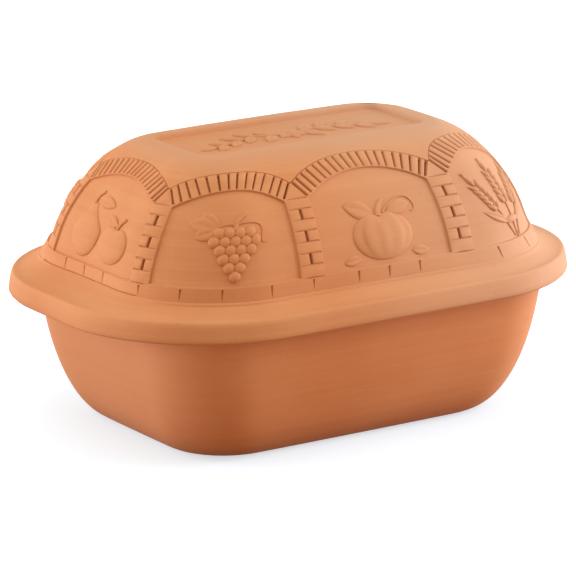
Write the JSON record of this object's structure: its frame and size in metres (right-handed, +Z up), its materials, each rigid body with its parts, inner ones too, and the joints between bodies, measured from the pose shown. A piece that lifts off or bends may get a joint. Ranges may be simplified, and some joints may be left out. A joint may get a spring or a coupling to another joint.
{
  "type": "clay roaster",
  "caption": "Unglazed terracotta roaster: a round-cornered tub and a domed lift-off lid with a wide rounded flange, arched brick relief panels and a recessed flat top.",
  "frame": {"origin": "centre of the tub's flat underside", "axes": "+X along the length, -Y towards the front long side, +Z up along the way the lid lifts"},
  "size_m": [0.38, 0.257, 0.1925],
  "materials": {
    "base_clay": "matt unglazed terracotta",
    "lid_clay": "matt unglazed terracotta with moulded relief"
  },
  "bodies": {
    "base": {"roaster_base": "base_clay"},
    "lid": {"roaster_lid": "lid_clay"}
  },
  "joints": [
    {"name": "lid_lift", "type": "slide", "parent": "base", "child": "lid", "axis": [0, 0, 1], "range_m": [0, 0.2]}
  ]
}
